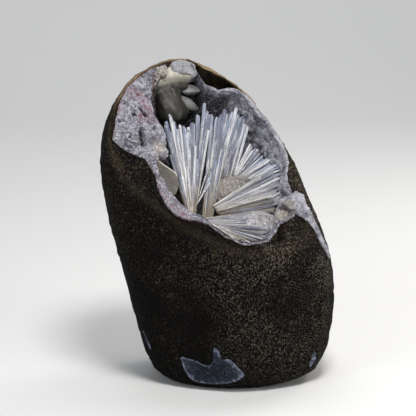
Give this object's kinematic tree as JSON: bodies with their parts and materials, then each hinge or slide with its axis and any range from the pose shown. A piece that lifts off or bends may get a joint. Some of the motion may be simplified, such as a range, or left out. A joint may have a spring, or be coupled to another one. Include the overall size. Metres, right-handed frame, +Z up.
{
  "type": "scolecite geode",
  "caption": "Rounded basalt boulder broken open at a slant, its hollow lined with white crust and filled with fans of slender scolecite needles; it stands on its flat foot.",
  "frame": {"origin": "under the middle of the boulder's box, on the surface that the flat foot rests on", "axes": "+Z up, along the boulder's longest extent; -Y the side that the opened hollow faces; +X to the viewer's right"},
  "size_m": [0.1653, 0.1176, 0.2188],
  "materials": {
    "basalt": "dark brown-black stone, finely chisel-dressed, matt",
    "white_crust": "sugary white crystal crust with lilac and grey patches",
    "scolecite": "clear to milky white needles, glassy, striped along their length",
    "stilbite": "cream, pearly, slightly see-through",
    "cleaved_beige": "smooth grey-beige cleaved crystal",
    "chalcedony": "slate-blue waxy chalcedony with a pale rim"
  },
  "bodies": {
    "root": {"basalt_boulder": "basalt", "crust_lining": "white_crust", "scolecite_tall_spray": "scolecite", "scolecite_right_spray": "scolecite", "scolecite_low_fan": "scolecite", "stilbite_cluster": "stilbite", "cleaved_plate": "cleaved_beige", "chalcedony_patch": "chalcedony", "chalcedony_streak": "chalcedony", "chalcedony_spot": "chalcedony"}
  },
  "joints": []
}
